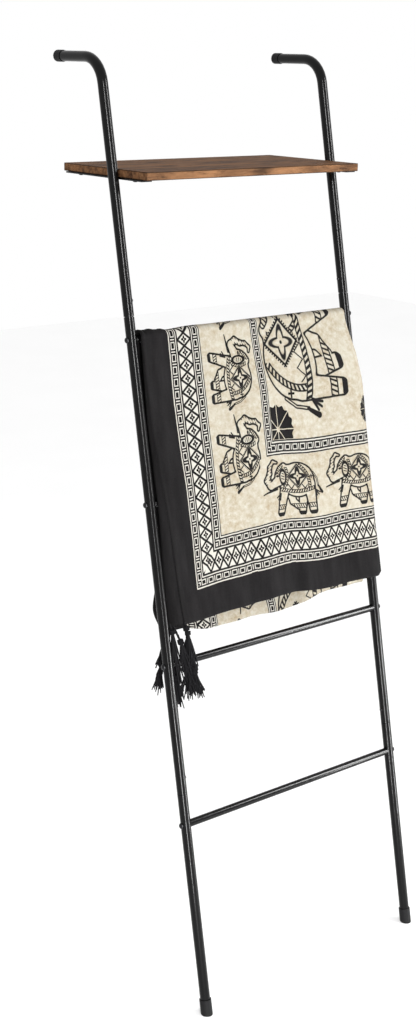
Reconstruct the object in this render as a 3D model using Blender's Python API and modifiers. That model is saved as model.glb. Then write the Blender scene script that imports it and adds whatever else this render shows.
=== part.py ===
"""A leaning tube rack with a shelf, and a folded throw hanging over its top rung.

X runs along the rungs, Y towards the wall that the rack leans on, Z up. Metres.
Rails, rungs and their fastenings are drawn upright in the rack's own plane and then leaned by one empty.
"""

from math import atan2, cos, pi, radians, sin

import bmesh
import bpy
from mathutils import Matrix, Vector

# Rack: overall sizes
BEND_HEIGHT = 1.700  # floor to the axis of the wall arms
FOOT_FORWARD = 0.348  # how far the feet stand in front of the bends
ARM_REACH = 0.132  # bend corner to the wall
RAIL_SPACING = 0.518  # between the two rail axes

# Rails
RAIL_RADIUS = 0.0095
TUBE_WALL = 0.0012
BEND_RADIUS = 0.055
BEND_STEPS = 8
RAIL_SIDES = 16
SEAM_GAP = 0.0012
SEAM_ABOVE_RUNG = {1: 0.058, 4: 0.041}  # rung number: its distance to the joint above it
SLEEVE_BELOW = 0.030
SLEEVE_ABOVE = 0.040
SLEEVE_WALL = 0.0015

# Rungs, numbered from the floor up
RUNG_COUNT = 4
RUNG_RADIUS = 0.0070
FIRST_RUNG = 0.358
RUNG_PITCH = 0.2945
RUNG_SIDES = 14
INSERT_LENGTH = 0.022

# Fastenings
BOLT_RADIUS = 0.0030
BOLT_HEAD_RADIUS = 0.0056
BOLT_HEAD_HEIGHT = 0.0040
BOLT_GRIP = 0.020  # how far a bolt reaches into a rung
SEAM_SCREW_RADIUS = 0.0015
SEAM_SCREW_HEAD_RADIUS = 0.0032
SEAM_SCREW_HEAD_HEIGHT = 0.0024
SEAM_SCREW_ABOVE = 0.028
SHELF_SCREW_RADIUS = 0.0020
SHELF_SCREW_HEAD_RADIUS = 0.0050
SHELF_SCREW_HEAD_HEIGHT = 0.0026
SHELF_SCREW_BITE = 0.010
HOLE_CLEARANCE = 0.0003
FASTENER_SIDES = 12

# End caps
CAP_WALL = 0.0014
FOOT_CAP_LENGTH = 0.022
FOOT_CAP_SOLE = 0.004
WALL_CAP_LENGTH = 0.018
WALL_CAP_WALL = 0.0008
WALL_CAP_FACE = 0.003

# Shelf and its strip brackets
SHELF_TOP = 1.510
SHELF_THICKNESS = 0.0145
SHELF_FRONT = -0.1285  # measured from the bends, towards the wall
SHELF_BACK = 0.1290
SHELF_EDGE = 0.0008
STRIP_WIDTH = 0.022
STRIP_THICKNESS = 0.0025
STRIP_INSET = 0.012  # the strip stops this far short of the shelf's front and back
STRIP_BITE = 0.003  # the strip's edge wraps this far round the rail that it is welded to
SHELF_SCREW_INSET = 0.045

# Throw
THROW_THICKNESS = 0.006
FRONT_DROP = 0.516  # rung axis to the front hem, along the rack
BACK_DROP = 0.585  # rung axis to the lower fold behind
SIDE_ROOM = 0.003  # between the throw and the rails that it passes between
FRONT_RIGHT = 0.281  # the front flap's right edge, spread over the rail
SPREAD_AT = 0.240  # how far below the rung the front flap is fully spread
FREE_OF_RUNG = 0.032  # how far below the rung the flap lies flat on the rails
BACK_LEFT = -0.175  # the lower corners of the back flap, which hangs askew
BACK_RIGHT = 0.350
ARC_STEPS = 6
THROW_COLUMNS = 4
LAP_ROOM = 0.0006

# Tassels: place along the hem from its left corner, lean towards X and Y, cord length
TASSELS = {
    "tassel_1": (0.009, -0.16, 0.33, 0.080),
    "tassel_2": (0.014, -0.08, -0.27, 0.028),
    "tassel_3": (0.027, -0.01, -0.29, 0.050),
    "tassel_4": (0.039, 0.03, -0.27, 0.036),
    "tassel_5": (0.052, 0.10, -0.28, 0.058),
}
TASSEL_CORD_RADIUS = 0.0018
TASSEL_KNOT_RADIUS = 0.0046
TASSEL_KNOT_LENGTH = 0.010
TASSEL_SKIRT_RADIUS = 0.0052
TASSEL_SKIRT_LENGTH = 0.052
TASSEL_SIDES = 8

GAP = 0.0003  # between two pieces that touch

LEAN = atan2(FOOT_FORWARD, BEND_HEIGHT)
UP_RACK = Vector((0, sin(LEAN), cos(LEAN)))
OFF_RACK = Vector((0, -cos(LEAN), sin(LEAN)))  # out of the rack's front
CORNER = BEND_HEIGHT / cos(LEAN)
RUNGS = {i + 1: FIRST_RUNG + i * RUNG_PITCH for i in range(RUNG_COUNT)}
SEAMS = {"lower": RUNGS[1] + SEAM_ABOVE_RUNG[1], "upper": RUNGS[4] + SEAM_ABOVE_RUNG[4]}
SIDES = {"left": -1, "right": 1}
RAIL_FOOT = (FOOT_CAP_SOLE + RAIL_RADIUS * sin(LEAN)) / cos(LEAN)

LEFT_MOST = -(RAIL_SPACING / 2 + RAIL_RADIUS + BOLT_HEAD_HEIGHT)
FRONT_MOST = -FOOT_FORWARD - (RAIL_RADIUS + CAP_WALL + GAP) / cos(LEAN)
CENTRE = Vector(((LEFT_MOST + BACK_RIGHT) / 2, (FRONT_MOST + ARM_REACH) / 2, 0))

MATERIALS = {
    "black_steel": ((0.012, 0.012, 0.013), 0.30, 0.6),
    "black_zinc": ((0.020, 0.020, 0.021), 0.35, 0.8),
    "bright_steel": ((0.55, 0.55, 0.56), 0.30, 1.0),
    "rubber": ((0.015, 0.015, 0.016), 0.70, 0.0),
    "rustic_board": ((0.26, 0.13, 0.06), 0.55, 0.0),
    "printed_cotton": ((0.72, 0.65, 0.52), 0.90, 0.0),
    "black_yarn": ((0.018, 0.018, 0.020), 0.95, 0.0),
}


def clear_scene():
    for obj in list(bpy.data.objects):
        bpy.data.objects.remove(obj, do_unlink=True)


def make_collection(name, hidden=False):
    collection = bpy.data.collections.new(name)
    bpy.context.scene.collection.children.link(collection)
    collection.hide_render = hidden
    return collection


def make_empty(name, location, parent=None, rotation=(0, 0, 0)):
    empty = bpy.data.objects.new(name, None)
    empty.location = location
    empty.rotation_euler = rotation
    empty.parent = parent
    PARTS.objects.link(empty)
    return empty


def make_material(name, kind):
    colour, roughness, metallic = MATERIALS[kind]
    material = bpy.data.materials.new(name)
    material.use_nodes = True
    shader = material.node_tree.nodes["Principled BSDF"]
    shader.inputs["Base Color"].default_value = (*colour, 1)
    shader.inputs["Roughness"].default_value = roughness
    shader.inputs["Metallic"].default_value = metallic
    return material


def add_piece(name, mesh, kind, parent, matrix=None, smooth=True):
    """A named sub-part in the model's collection, with a material of its own."""
    obj = bpy.data.objects.new(name, mesh)
    PARTS.objects.link(obj)
    obj.parent = parent
    if matrix is not None:
        obj.matrix_local = matrix
    mesh.materials.append(make_material(name, kind))
    if smooth:
        mesh.shade_smooth()
        mesh.set_sharp_from_angle(angle=radians(35))
    return obj


def add_cutter(name, mesh, parent, matrix=None):
    obj = bpy.data.objects.new(name, mesh)
    CUTTERS.objects.link(obj)
    obj.parent = parent
    if matrix is not None:
        obj.matrix_local = matrix
    obj.hide_render = True
    obj.display_type = "WIRE"
    return obj


def cut(obj, cutter):
    modifier = obj.modifiers.new("cut_" + cutter.name, "BOOLEAN")
    modifier.operation = "DIFFERENCE"
    modifier.solver = "EXACT"
    modifier.object = cutter


def round_edges(obj, width, segments=1):
    modifier = obj.modifiers.new("round", "BEVEL")
    modifier.width = width
    modifier.segments = segments
    modifier.limit_method = "ANGLE"


def box_mesh(name, low, high):
    bm = bmesh.new()
    bmesh.ops.create_cube(bm, size=1)
    low, high = Vector(low), Vector(high)
    bmesh.ops.scale(bm, vec=high - low, verts=bm.verts)
    bmesh.ops.translate(bm, vec=(low + high) / 2, verts=bm.verts)
    mesh = bpy.data.meshes.new(name)
    bm.to_mesh(mesh)
    bm.free()
    return mesh


def rod_mesh(name, radius, start, end, sides):
    """A capped cylinder between two points."""
    start, end = Vector(start), Vector(end)
    bm = bmesh.new()
    bmesh.ops.create_cone(
        bm,
        cap_ends=True,
        segments=sides,
        radius1=radius,
        radius2=radius,
        depth=(end - start).length,
    )
    turn = (end - start).to_track_quat("Z", "Y").to_matrix().to_4x4()
    bmesh.ops.transform(bm, matrix=Matrix.Translation((start + end) / 2) @ turn, verts=bm.verts)
    mesh = bpy.data.meshes.new(name)
    bm.to_mesh(mesh)
    bm.free()
    return mesh


def profile_mesh(name, points):
    """A half outline in the XZ plane, for a Screw modifier to turn about Z."""
    mesh = bpy.data.meshes.new(name)
    edges = [(i, i + 1) for i in range(len(points) - 1)]
    mesh.from_pydata([(r, 0, z) for r, z in points], edges, [])
    return mesh


def add_turned(name, points, kind, parent, matrix, sides):
    """A solid of revolution; its outline runs down the outer side from the axis at the top."""
    obj = add_piece(name, profile_mesh(name, points), kind, parent, matrix, smooth=False)
    turn = obj.modifiers.new("turn", "SCREW")
    turn.axis = "Z"
    turn.steps = sides
    turn.render_steps = sides
    turn.use_merge_vertices = True
    turn.merge_threshold = 0.00001
    turn.use_smooth_shade = False
    return obj


def pointing(direction, place):
    """The matrix that turns +Z to a direction and puts the origin at a place."""
    turn = Vector(direction).to_track_quat("Z", "Y").to_matrix().to_4x4()
    return Matrix.Translation(place) @ turn


def tube_mesh(name, points, radius, sides):
    """The skin of an open-ended tube along a path, for Solidify to give it a wall."""
    curve = bpy.data.curves.new(name + "_path", "CURVE")
    curve.dimensions = "3D"
    curve.bevel_depth = radius
    curve.bevel_resolution = (sides - 4) // 2
    curve.use_fill_caps = False
    spline = curve.splines.new("POLY")
    spline.points.add(len(points) - 1)
    for point, place in zip(spline.points, points):
        point.co = (*place, 1)
    guide = bpy.data.objects.new(name + "_path", curve)
    CUTTERS.objects.link(guide)
    evaluated = guide.evaluated_get(bpy.context.evaluated_depsgraph_get())
    mesh = bpy.data.meshes.new_from_object(evaluated)
    bpy.data.objects.remove(guide, do_unlink=True)
    bpy.data.curves.remove(curve)
    mesh.name = name
    mesh.materials.clear()
    return mesh


def add_tube(name, points, radius, wall, kind, parent, sides=RAIL_SIDES):
    obj = add_piece(name, tube_mesh(name, points, radius, sides), kind, parent)
    shell = obj.modifiers.new("wall", "SOLIDIFY")
    shell.thickness = wall
    shell.offset = -1
    shell.use_even_offset = True
    return obj


def bend_points(x):
    """The rounded corner from the rail into the wall arm, in the rack's plane frame."""
    arm = Vector((0, cos(LEAN), sin(LEAN)))
    up = Vector((0, 0, 1))
    corner = Vector((x, 0, CORNER))
    turn = up.angle(arm)
    reach = BEND_RADIUS * sin(turn / 2) / cos(turn / 2)
    start = corner - up * reach
    centre = start + Vector((0, BEND_RADIUS, 0))
    points = []
    for i in range(BEND_STEPS + 1):
        angle = turn * i / BEND_STEPS
        points.append(centre + BEND_RADIUS * Vector((0, -cos(angle), sin(angle))))
    return points


def arm_point(x, back):
    """A point on a wall arm's axis, a distance short of the wall."""
    return Vector((x, 0, CORNER)) + (ARM_REACH - back) * Vector((0, cos(LEAN), sin(LEAN)))


def add_rail(side, rack):
    """One rail: three tubes in line, their joining sleeves, and the end caps."""
    x = SIDES[side] * RAIL_SPACING / 2
    half = SEAM_GAP / 2
    low, high = SEAMS["lower"], SEAMS["upper"]
    paths = {
        "lower_rail_": [(x, 0, RAIL_FOOT), (x, 0, low - half)],
        "middle_rail_": [(x, 0, low + half), (x, 0, high - half)],
        "upper_rail_": [(x, 0, high + half), *bend_points(x), arm_point(x, WALL_CAP_FACE + GAP)],
    }
    tubes = {}
    for name, path in paths.items():
        tubes[name] = add_tube(name + side, path, RAIL_RADIUS, TUBE_WALL, "black_steel", rack)

    for name, seam in SEAMS.items():
        sleeve_name = f"{name}_sleeve_{side}"
        outer = RAIL_RADIUS - TUBE_WALL - GAP
        ends = [(x, 0, seam - SLEEVE_BELOW), (x, 0, seam + SLEEVE_ABOVE)]
        sleeve = add_tube(sleeve_name, ends, outer, SLEEVE_WALL, "bright_steel", rack, 12)
        above = tubes["middle_rail_" if name == "lower" else "upper_rail_"]
        add_seam_screw(f"{name}_seam_screw_{side}", side, x, seam, rack, [above, sleeve])

    for number, height in RUNGS.items():
        inside = number > 1
        tube = tubes["middle_rail_" if inside else "lower_rail_"]
        add_rung_bolt(number, side, x, height, rack, tube)
    add_foot_cap(side, x, rack)
    add_wall_cap(side, x, rack)


def add_seam_screw(name, side, x, seam, rack, drilled):
    """The small screw on a rail's inner side that holds the sleeve in the tube above the joint."""
    inward = -SIDES[side]
    height = seam + SEAM_SCREW_ABOVE
    tip = RAIL_RADIUS - TUBE_WALL - GAP - SLEEVE_WALL
    shank = RAIL_RADIUS + GAP - tip
    seat = Vector((x + inward * (RAIL_RADIUS + GAP), 0, height))
    points = screw_outline(
        SEAM_SCREW_RADIUS, SEAM_SCREW_HEAD_RADIUS, SEAM_SCREW_HEAD_HEIGHT, shank
    )
    add_turned(name, points, "black_zinc", rack, pointing((inward, 0, 0), seat), FASTENER_SIDES)
    hole = rod_mesh(
        name + "_hole",
        SEAM_SCREW_RADIUS + HOLE_CLEARANCE,
        (x, 0, height),
        (x + inward * 2 * RAIL_RADIUS, 0, height),
        FASTENER_SIDES,
    )
    cutter = add_cutter(name + "_hole", hole, rack)
    for obj in drilled:
        cut(obj, cutter)


def screw_outline(radius, head_radius, head_height, shank):
    """A domed head above the seat at zero, and a plain shank below it."""
    return [
        (0, head_height),
        (head_radius * 0.45, head_height * 0.92),
        (head_radius * 0.80, head_height * 0.62),
        (head_radius, head_height * 0.20),
        (head_radius, 0),
        (radius, 0),
        (radius, -shank),
        (0, -shank),
    ]


def add_rung_bolt(number, side, x, height, rack, tube):
    """A bolt through the rail from outside, and the threaded insert that it screws into."""
    outward = SIDES[side]
    shank = 2 * RAIL_RADIUS + GAP + BOLT_GRIP
    seat = Vector((x + outward * (RAIL_RADIUS + GAP), 0, height))
    points = screw_outline(BOLT_RADIUS, BOLT_HEAD_RADIUS, BOLT_HEAD_HEIGHT, shank)
    name = f"rung_{number}_bolt_{side}"
    add_turned(name, points, "black_zinc", rack, pointing((outward, 0, 0), seat), FASTENER_SIDES)
    hole = rod_mesh(
        name + "_hole",
        BOLT_RADIUS + HOLE_CLEARANCE,
        (x - 2 * RAIL_RADIUS, 0, height),
        (x + 2 * RAIL_RADIUS, 0, height),
        FASTENER_SIDES,
    )
    cut(tube, add_cutter(name + "_hole", hole, rack))

    outer = RUNG_RADIUS - TUBE_WALL - GAP
    bore = BOLT_RADIUS + HOLE_CLEARANCE
    ring = [(bore, -INSERT_LENGTH), (bore, 0), (outer, 0), (outer, -INSERT_LENGTH)]
    ring.append(ring[0])
    end = Vector((x - outward * (RAIL_RADIUS + GAP), 0, height))
    insert_name = f"rung_{number}_insert_{side}"
    matrix = pointing((outward, 0, 0), end)
    add_turned(insert_name, ring, "bright_steel", rack, matrix, FASTENER_SIDES)


def add_rung(number, rack, saddles):
    """A tube between the rails, its ends hollowed to sit against them."""
    half, height = RAIL_SPACING / 2, RUNGS[number]
    path = [(-half, 0, height), (half, 0, height)]
    rung = add_tube(
        f"rung_{number}", path, RUNG_RADIUS, TUBE_WALL, "black_steel", rack, RUNG_SIDES
    )
    for saddle in saddles:
        cut(rung, saddle)


def add_foot_cap(side, x, rack):
    """A rubber cup over the rail's end, its sole cut level with the floor."""
    inner = RAIL_RADIUS + GAP
    outer = inner + CAP_WALL
    depth = outer * sin(LEAN) / cos(LEAN)
    top = RAIL_FOOT + FOOT_CAP_LENGTH
    seat = RAIL_FOOT - GAP
    points = [
        (0, seat),
        (inner, seat),
        (inner, top),
        (outer, top),
        (outer, -2 * depth),
        (0, -2 * depth),
    ]
    matrix = Matrix.Translation((x, 0, 0))
    cap = add_turned("foot_cap_" + side, points, "rubber", rack, matrix, RAIL_SIDES)
    cut(cap, FLOOR)


def add_wall_cap(side, x, rack):
    """A rubber cup over the end of a wall arm."""
    inner = RAIL_RADIUS + GAP
    outer = inner + WALL_CAP_WALL
    points = [
        (0, -WALL_CAP_FACE),
        (inner, -WALL_CAP_FACE),
        (inner, -WALL_CAP_LENGTH),
        (outer, -WALL_CAP_LENGTH),
        (outer, 0),
        (0, 0),
    ]
    arm = Vector((0, cos(LEAN), sin(LEAN)))
    matrix = pointing(arm, arm_point(x, 0))
    add_turned("wall_cap_" + side, points[::-1], "rubber", rack, matrix, RAIL_SIDES)


def add_shelf(root, notches):
    """The board, a welded strip under each end of it, and the screws up into it."""
    half = RAIL_SPACING / 2 - RAIL_RADIUS - GAP
    under = SHELF_TOP - SHELF_THICKNESS
    low = (-half, SHELF_FRONT, under)
    board = add_piece(
        "shelf_board",
        box_mesh("shelf_board", low, (half, SHELF_BACK, SHELF_TOP)),
        "rustic_board",
        root,
        smooth=False,
    )
    round_edges(board, SHELF_EDGE)
    for side, sign in SIDES.items():
        edge = half + GAP + STRIP_BITE
        xs = sorted((sign * edge, sign * (edge - STRIP_WIDTH)))
        strip = add_piece(
            "shelf_strip_" + side,
            box_mesh(
                "shelf_strip_" + side,
                (xs[0], SHELF_FRONT + STRIP_INSET, under - GAP - STRIP_THICKNESS),
                (xs[1], SHELF_BACK - STRIP_INSET, under - GAP),
            ),
            "black_steel",
            root,
            smooth=False,
        )
        cut(strip, notches[side])
        for place, y in (
            ("front", SHELF_FRONT + SHELF_SCREW_INSET),
            ("back", SHELF_BACK - SHELF_SCREW_INSET),
        ):
            add_shelf_screw(f"shelf_screw_{place}_{side}", sum(xs) / 2, y, root, board, strip)


def add_shelf_screw(name, x, y, root, board, strip):
    under = SHELF_TOP - SHELF_THICKNESS
    seat = under - 2 * GAP - STRIP_THICKNESS
    shank = SHELF_SCREW_BITE + under - seat
    points = screw_outline(
        SHELF_SCREW_RADIUS, SHELF_SCREW_HEAD_RADIUS, SHELF_SCREW_HEAD_HEIGHT, shank
    )
    matrix = pointing((0, 0, -1), (x, y, seat))
    add_turned(name, points, "black_zinc", root, matrix, FASTENER_SIDES)
    hole = rod_mesh(
        name + "_hole",
        SHELF_SCREW_RADIUS + HOLE_CLEARANCE,
        (x, y, seat - STRIP_THICKNESS),
        (x, y, seat + shank + GAP),
        FASTENER_SIDES,
    )
    cutter = add_cutter(name + "_hole", hole, root)
    cut(board, cutter)
    cut(strip, cutter)


def on_rack(up, out):
    """A point of the YZ plane, a distance up the rack from the floor and out of its front."""
    return Vector((0, -FOOT_FORWARD, 0)) + up * UP_RACK + out * OFF_RACK


def between(low, high, share):
    return low + (high - low) * min(max(share, 0), 1)


def throw_rows():
    """The throw's middle surface, row by row: a point of the YZ plane, and its left and right edge."""
    rung = RUNGS[RUNG_COUNT]
    inside = RAIL_SPACING / 2 - RAIL_RADIUS - SIDE_ROOM
    flat = RAIL_RADIUS + LAP_ROOM + THROW_THICKNESS / 2
    lap = RUNG_RADIUS + LAP_ROOM + THROW_THICKNESS / 2
    rows = []
    for drop in (FRONT_DROP, (FRONT_DROP + SPREAD_AT) / 2, SPREAD_AT, SPREAD_AT / 2, FREE_OF_RUNG):
        share = (drop - FREE_OF_RUNG) / (SPREAD_AT - FREE_OF_RUNG)
        rows.append((on_rack(rung - drop, flat), -inside, between(inside, FRONT_RIGHT, share)))
    centre = on_rack(rung, 0)
    for i in range(ARC_STEPS + 1):
        angle = (pi - LEAN) * (1 - i / ARC_STEPS)
        rows.append((centre + lap * Vector((0, cos(angle), sin(angle))), -inside, inside))
    for share in (FREE_OF_RUNG / BACK_DROP, 0.35, 0.7, 1):
        place = centre + Vector((0, lap, -share * BACK_DROP))
        left = between(-inside, BACK_LEFT, share)
        right = between(inside, BACK_RIGHT, share)
        rows.append((place, left, right))
    return rows


def add_throw(root):
    """The folded throw as one closed sheet, as thick as its layers together."""
    bm = bmesh.new()
    grid = []
    for place, left, right in throw_rows():
        row = []
        for i in range(THROW_COLUMNS + 1):
            x = left + (right - left) * i / THROW_COLUMNS
            row.append(bm.verts.new((x, place.y, place.z)))
        grid.append(row)
    for lower, upper in zip(grid, grid[1:]):
        for i in range(THROW_COLUMNS):
            bm.faces.new((lower[i], lower[i + 1], upper[i + 1], upper[i]))
    mesh = bpy.data.meshes.new("throw")
    bm.to_mesh(mesh)
    bm.free()
    throw = add_piece("throw", mesh, "printed_cotton", root)
    layers = throw.modifiers.new("layers", "SOLIDIFY")
    layers.thickness = THROW_THICKNESS
    layers.offset = 0
    layers.use_even_offset = True


def add_tassel(name, root):
    """A knotted tassel hanging from the throw's lower front corner."""
    along, lean_x, lean_y, cord = TASSELS[name]
    place, left, right = throw_rows()[0]
    top = Vector((left + along, place.y, place.z)) - (2 * GAP + THROW_THICKNESS * sin(LEAN)) * Vector(
        (0, 0, 1)
    )
    knot = cord + TASSEL_KNOT_LENGTH
    end = knot + TASSEL_SKIRT_LENGTH
    points = [
        (0, 0),
        (TASSEL_CORD_RADIUS, 0),
        (TASSEL_CORD_RADIUS, -cord),
        (TASSEL_KNOT_RADIUS, -cord - TASSEL_KNOT_LENGTH * 0.3),
        (TASSEL_KNOT_RADIUS, -cord - TASSEL_KNOT_LENGTH * 0.7),
        (TASSEL_KNOT_RADIUS * 0.6, -knot),
        (TASSEL_SKIRT_RADIUS, -end),
        (0, -end),
    ]
    matrix = pointing((-lean_x, -lean_y, 1), top)
    add_turned(name, points, "black_yarn", root, matrix, TASSEL_SIDES)


clear_scene()
PARTS = make_collection("leaning_rack_with_throw")
CUTTERS = make_collection("cutters", hidden=True)
ROOT = make_empty("rack_root", -CENTRE)
RACK = make_empty("rack_plane", (0, -FOOT_FORWARD, 0), ROOT, (-LEAN, 0, 0))
FLOOR = add_cutter("floor", box_mesh("floor", (-1, -1, -0.1), (1, 1, 0)), ROOT)

SADDLES = {}
for side_name, sign_x in SIDES.items():
    axis_x = sign_x * RAIL_SPACING / 2
    saddle_mesh = rod_mesh(
        "saddle_" + side_name,
        RAIL_RADIUS + GAP,
        (axis_x, 0, -0.1),
        (axis_x, 0, CORNER),
        RAIL_SIDES,
    )
    SADDLES[side_name] = add_cutter("saddle_" + side_name, saddle_mesh, RACK)

for side_name in SIDES:
    add_rail(side_name, RACK)
for rung_number in RUNGS:
    add_rung(rung_number, RACK, SADDLES.values())
add_shelf(ROOT, SADDLES)
add_throw(ROOT)
for tassel_name in TASSELS:
    add_tassel(tassel_name, ROOT)
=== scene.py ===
"""Looks for the leaning rack with a folded throw: print, cloth, tassels, steel and wood.

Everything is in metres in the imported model's frame: X along the rungs, Y towards the wall, Z up.
"""

from math import atan2, cos, pi, sin, tau

import bpy
import numpy as np
from mathutils import Matrix, Vector


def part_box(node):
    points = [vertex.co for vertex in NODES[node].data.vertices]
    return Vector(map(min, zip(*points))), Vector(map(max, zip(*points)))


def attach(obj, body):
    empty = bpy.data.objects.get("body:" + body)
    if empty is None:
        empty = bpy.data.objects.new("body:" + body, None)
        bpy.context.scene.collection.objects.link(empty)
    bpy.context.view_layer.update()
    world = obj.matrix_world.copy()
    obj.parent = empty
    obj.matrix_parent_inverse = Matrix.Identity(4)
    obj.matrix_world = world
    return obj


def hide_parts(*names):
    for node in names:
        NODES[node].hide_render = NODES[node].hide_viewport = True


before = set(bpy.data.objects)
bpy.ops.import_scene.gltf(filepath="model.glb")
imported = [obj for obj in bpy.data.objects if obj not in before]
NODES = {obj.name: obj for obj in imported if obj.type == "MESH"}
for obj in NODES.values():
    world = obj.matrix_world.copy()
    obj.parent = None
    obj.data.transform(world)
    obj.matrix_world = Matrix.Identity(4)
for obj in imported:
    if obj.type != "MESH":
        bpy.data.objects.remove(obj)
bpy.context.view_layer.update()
RNG = np.random.default_rng(7)

# ---------------------------------------------------------------- the frame's own places
LOW_RUNG = sum(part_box("rung_1"), Vector()) / 2
MID_RUNG = sum(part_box("rung_3"), Vector()) / 2
TOP_RUNG = sum(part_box("rung_4"), Vector()) / 2
LEAN = atan2(TOP_RUNG.y - LOW_RUNG.y, TOP_RUNG.z - LOW_RUNG.z)
UP_RACK = np.array([0, sin(LEAN), cos(LEAN)])
OFF_RACK = np.array([0, -cos(LEAN), sin(LEAN)])
MIDDLE_X = TOP_RUNG.x
RUNG_RADIUS = (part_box("rung_4")[1].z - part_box("rung_4")[0].z) / 2
RUNG_PITCH = (TOP_RUNG - MID_RUNG).length

# ---------------------------------------------------------------- camera
CAMERA_PLACE = (-1.86812, -2.15357, 1.71649)
CAMERA_YAW, CAMERA_PITCH, CAMERA_ROLL = -0.6713, -0.2483, 0.0173
CAMERA_LENS = 54.15
SENSOR_WIDTH = 36
CAMERA_SHIFT = (0.0105, -0.0711)


def add_camera():
    forward = Vector((
        -sin(CAMERA_YAW) * cos(CAMERA_PITCH),
        cos(CAMERA_YAW) * cos(CAMERA_PITCH),
        sin(CAMERA_PITCH),
    ))
    right = forward.cross(Vector((0, 0, 1))).normalized()
    up = right.cross(forward)
    turned_right = cos(CAMERA_ROLL) * right + sin(CAMERA_ROLL) * up
    turned_up = cos(CAMERA_ROLL) * up - sin(CAMERA_ROLL) * right
    data = bpy.data.cameras.new("camera")
    data.lens = CAMERA_LENS
    data.sensor_width = SENSOR_WIDTH
    data.shift_x, data.shift_y = CAMERA_SHIFT
    camera = bpy.data.objects.new("camera", data)
    axes = Matrix((turned_right, turned_up, -forward)).transposed().to_4x4()
    camera.matrix_world = Matrix.Translation(CAMERA_PLACE) @ axes
    bpy.context.scene.collection.objects.link(camera)
    bpy.context.scene.camera = camera
    bpy.context.scene.view_settings.view_transform = "Standard"


# ---------------------------------------------------------------- colours (linear RGB)
FIELD_TAN, FIELD_PALE = (0.258, 0.208, 0.136), (0.325, 0.292, 0.228)
FIELD_FLECK = (0.390, 0.378, 0.325)
BAND_GROUND = (0.410, 0.395, 0.355)
# The black cloth's paler ink is partly wear and partly painted sheen on its folds.
INK_DARK, INK_PAINTED_SHEEN_AND_WEAR = (0.0035, 0.0032, 0.0034), (0.0165, 0.0155, 0.0160)
YARN_DARK, YARN_PALE = (0.004, 0.004, 0.0045), (0.016, 0.0155, 0.017)
COAT_DARK, COAT_DUSTY = (0.0008, 0.0008, 0.0009), (0.0040, 0.0040, 0.0043)
ZINC_DARK, ZINC_PALE = (0.010, 0.010, 0.011), (0.040, 0.040, 0.042)
STEEL_DARK, STEEL_PALE = (0.13, 0.13, 0.135), (0.24, 0.24, 0.245)
RUBBER_DARK, RUBBER_PALE = (0.004, 0.004, 0.0045), (0.013, 0.013, 0.0135)
# The front colour is the top's wood painted paler for its lit front face: painted light.
WOOD_TOP, WOOD_FRONT_PAINTED_LIGHT = (0.165, 0.078, 0.034), (0.235, 0.115, 0.052)
WOOD_GRAIN, WOOD_FLECK = (0.036, 0.016, 0.008), (0.250, 0.140, 0.070)
WOOD_PORE = (0.022, 0.010, 0.005)
WOOD_KNOT, WOOD_RIM = (0.014, 0.007, 0.004), (0.016, 0.008, 0.005)
FLOOR_LOW, FLOOR_HIGH = (0.93, 0.93, 0.93), (0.97, 0.97, 0.97)


# ---------------------------------------------------------------- shader arithmetic
class Val:
    """A number in a shader: arithmetic on it adds Math nodes to its tree."""

    def __init__(self, tree, socket):
        self.tree = tree
        self.socket = socket

    def op(self, operation, *others, clamp=False):
        node = self.tree.nodes.new("ShaderNodeMath")
        node.operation = operation
        node.use_clamp = clamp
        for slot, value in zip(node.inputs, (self, *others)):
            if isinstance(value, Val):
                self.tree.links.new(value.socket, slot)
            else:
                slot.default_value = value
        return Val(self.tree, node.outputs[0])

    def __add__(self, other):
        return self.op("ADD", other)

    def __sub__(self, other):
        return self.op("SUBTRACT", other)

    def __mul__(self, other):
        return self.op("MULTIPLY", other)

    def __truediv__(self, other):
        return self.op("DIVIDE", other)

    def __rsub__(self, other):
        return self.op("MULTIPLY_ADD", -1.0, other)

    __radd__ = __add__
    __rmul__ = __mul__

    def low(self, other):
        return self.op("MINIMUM", other)

    def high(self, other):
        return self.op("MAXIMUM", other)

    def size(self):
        return self.op("ABSOLUTE")

    def blend_low(self, other, reach):
        return self.op("SMOOTH_MIN", other, reach)

    def beat(self, period):
        """The distance to the nearest whole number of periods."""
        return self.op("PINGPONG", period / 2)

    def under(self, edge, soft):
        """1 where the value is under the edge, 0 above it, with a soft step."""
        return self.op("MULTIPLY_ADD", -1 / soft, edge / soft + 0.5, clamp=True)

    def over(self, edge, soft):
        return self.op("MULTIPLY_ADD", 1 / soft, 0.5 - edge / soft, clamp=True)


class Place:
    """A vector in a shader."""

    def __init__(self, tree, socket):
        self.tree = tree
        self.socket = socket

    def op(self, operation, other=None, third=None, out=0):
        node = self.tree.nodes.new("ShaderNodeVectorMath")
        node.operation = operation
        for slot, value in zip(node.inputs, (self, other, third)):
            if isinstance(value, (Place, Val)):
                self.tree.links.new(value.socket, slot)
            elif value is not None:
                slot.default_value = value
        kind = Val if operation in ("LENGTH", "DOT_PRODUCT") else Place
        return kind(self.tree, node.outputs["Value" if kind is Val else "Vector"])

    def minus(self, x, y):
        return self.op("SUBTRACT", (x, y, 0))

    def scaled(self, x, y):
        return self.op("MULTIPLY", (x, y, 1))

    def length(self):
        return self.op("LENGTH")

    def parts(self):
        node = self.tree.nodes.new("ShaderNodeSeparateXYZ")
        self.tree.links.new(self.socket, node.inputs[0])
        return Val(self.tree, node.outputs[0]), Val(self.tree, node.outputs[1])


def joined(x, y):
    node = x.tree.nodes.new("ShaderNodeCombineXYZ")
    x.tree.links.new(x.socket, node.inputs[0])
    y.tree.links.new(y.socket, node.inputs[1])
    return Place(x.tree, node.outputs[0])


def pick(share, low, high):
    """low where share is 0, high where it is 1."""
    return share * (high - low) + low


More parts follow.
